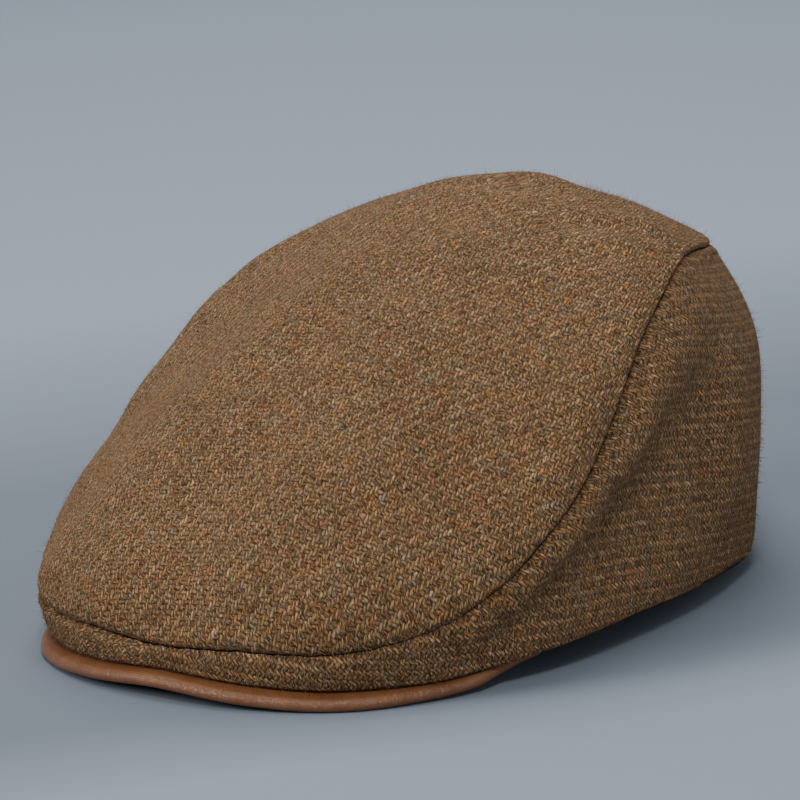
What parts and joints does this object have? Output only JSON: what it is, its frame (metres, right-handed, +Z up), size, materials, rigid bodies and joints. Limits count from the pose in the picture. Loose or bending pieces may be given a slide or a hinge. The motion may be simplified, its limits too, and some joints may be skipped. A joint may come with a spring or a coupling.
{
  "type": "flat cap",
  "caption": "Flat cap: a long wool top panel sloping to the front, two wool side panels meeting at the back, and a stiff leather peak under the front edge.",
  "frame": {"origin": "middle of the cap's bounding box, on the surface it rests on", "axes": "+Z up, -Y to the front where the peak is, +X to the wearer's left"},
  "size_m": [0.1744, 0.2384, 0.117],
  "materials": {
    "wool": "brown heather wool in a coarse two-and-two twill, slightly fuzzy",
    "leather": "smooth tan leather with a fine grain, softly glossy"
  },
  "bodies": {
    "root": {"crown_top": "wool", "side_left": "wool", "side_right": "wool", "peak": "leather"}
  },
  "joints": []
}
